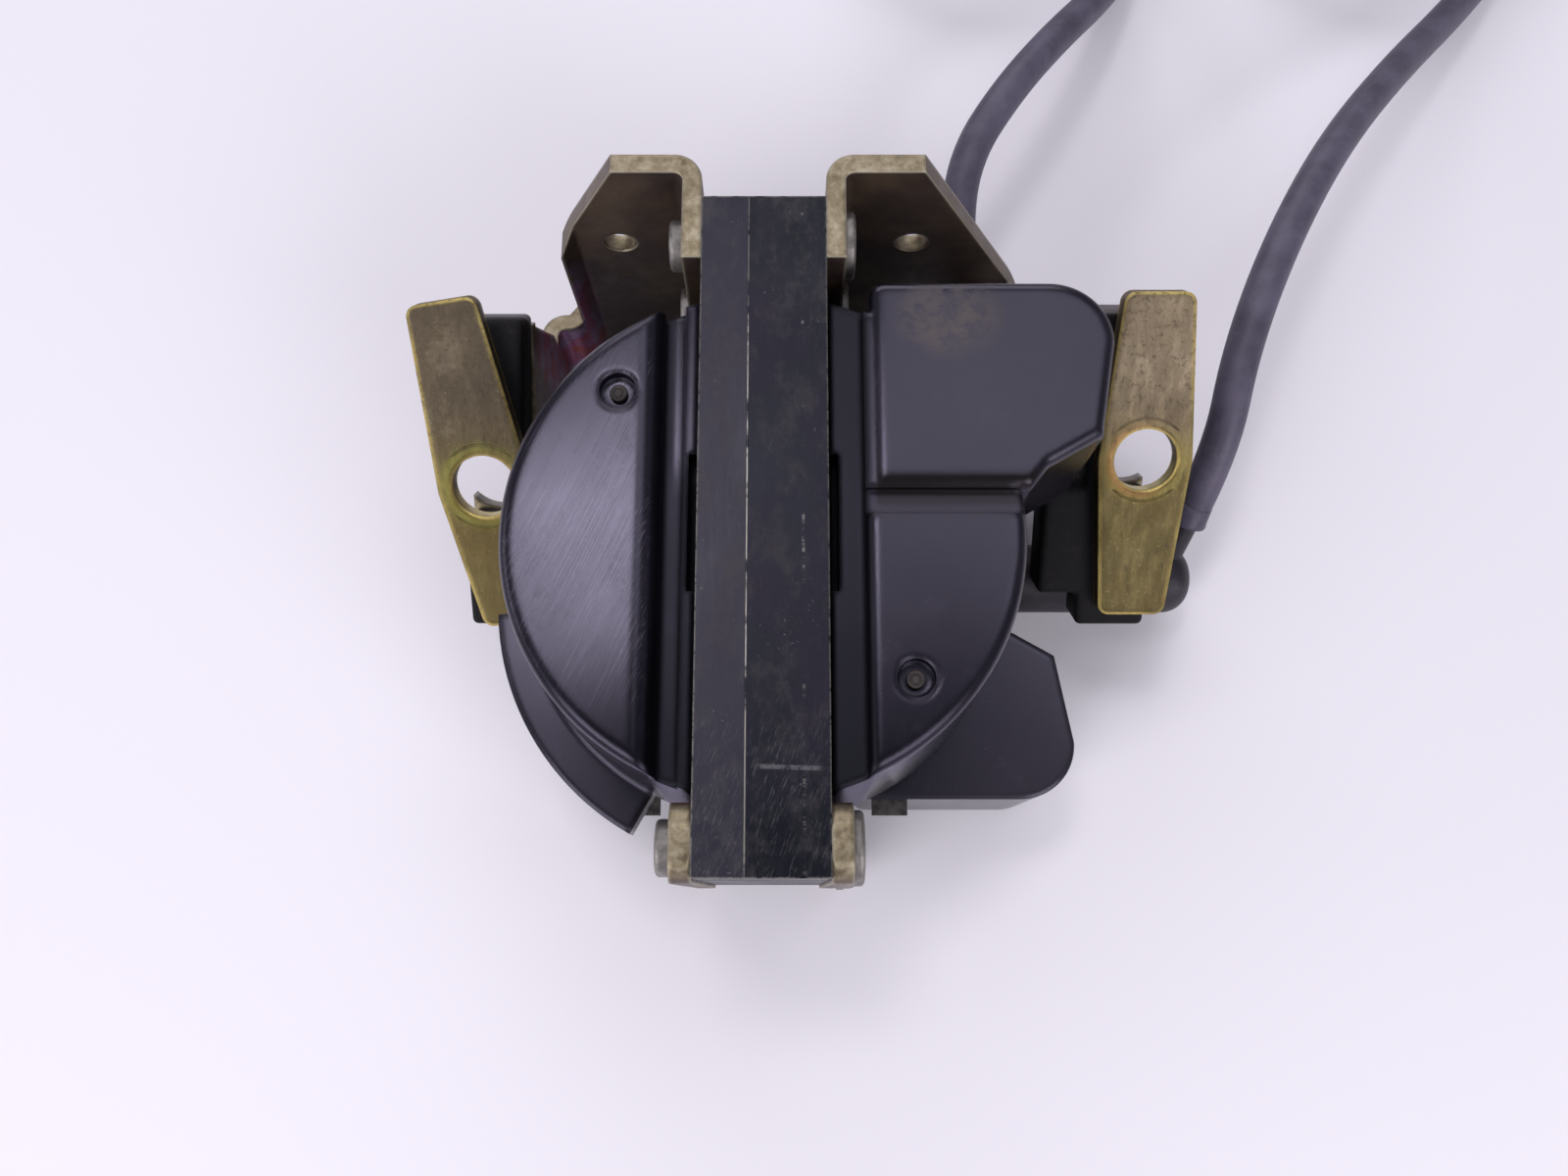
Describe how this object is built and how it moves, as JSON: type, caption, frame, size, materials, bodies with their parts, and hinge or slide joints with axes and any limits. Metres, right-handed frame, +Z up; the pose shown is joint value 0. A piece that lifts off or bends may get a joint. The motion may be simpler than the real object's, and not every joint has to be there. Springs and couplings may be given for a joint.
{
  "type": "twin ignition coil assembly",
  "caption": "Twin ignition coil with laminated cores, yellow-zinc bracket, rubber-mounted ears and two high-voltage leads.",
  "frame": {"origin": "on the floor plane, below the middle of the two laminated cores", "axes": "+X towards the side the high-voltage leads leave, +Y towards the bracket's upright face, +Z up towards the upper coil"},
  "size_m": [0.2783, 0.3134, 0.074],
  "materials": {
    "core_lacquer": "thin black paint over laminated steel, worn to bright metal on the edges",
    "housing_plastic": "black moulding with a soft satin sheen and fine scratches",
    "bobbin_plastic": "natural moulded plastic",
    "copper_wire": "enamelled copper wire",
    "potting_resin": "cast dark resin",
    "stud_metal": "black moulding boss",
    "terminal_brass": "plain brass, slightly dulled",
    "rivet_steel": "dull zinc-grey peened steel",
    "boot_rubber": "matte black rubber with a soft sheen",
    "zinc_chromate": "yellow chromate over zinc, worn, speckled, with violet iridescence",
    "ear_zinc": "golden-olive chromate over zinc with bright rims and iridescent rings",
    "mount_rubber": "bonded black rubber, dusty on the cut ends",
    "lead_rubber": "matte dark rubber jacket with a purple-grey cast",
    "tie_nylon": "black moulded nylon",
    "cap_plastic": "black moulded cap"
  },
  "bodies": {
    "root": {"core_spacer": "core_lacquer", "lead_a_coil": "lead_rubber", "lead_a_run": "lead_rubber", "lead_a_tail": "lead_rubber", "lead_a_tie": "tie_nylon", "lead_b_coil": "lead_rubber", "lead_b_run": "lead_rubber", "lead_b_tail": "lead_rubber", "lead_b_tie": "tie_nylon", "left_bracket": "zinc_chromate", "left_end_plate": "zinc_chromate", "left_mounting_ear": "ear_zinc", "left_rubber_mount": "mount_rubber", "lower_core_bar": "core_lacquer", "lower_core_stack": "core_lacquer", "lower_high_voltage_pin": "terminal_brass", "lower_housing": "housing_plastic", "lower_lead_boot": "boot_rubber", "lower_potting_resin": "potting_resin", "lower_primary_blades": "terminal_brass", "lower_primary_bobbin": "bobbin_plastic", "lower_primary_winding": "copper_wire", "lower_recess_studs": "stud_metal", "lower_rivets": "rivet_steel", "lower_secondary_bobbin": "bobbin_plastic", "lower_secondary_winding": "copper_wire", "plug_cap_a": "cap_plastic", "plug_cap_b": "cap_plastic", "plug_cap_clips": "terminal_brass", "right_bracket": "zinc_chromate", "right_end_plate": "zinc_chromate", "right_mounting_ear": "ear_zinc", "right_rubber_mount": "mount_rubber", "upper_core_bar": "core_lacquer", "upper_core_stack": "core_lacquer", "upper_high_voltage_pin": "terminal_brass", "upper_housing": "housing_plastic", "upper_lead_boot": "boot_rubber", "upper_potting_resin": "potting_resin", "upper_primary_blades": "terminal_brass", "upper_primary_bobbin": "bobbin_plastic", "upper_primary_winding": "copper_wire", "upper_recess_studs": "stud_metal", "upper_rivets": "rivet_steel", "upper_secondary_bobbin": "bobbin_plastic", "upper_secondary_winding": "copper_wire"}
  },
  "joints": []
}
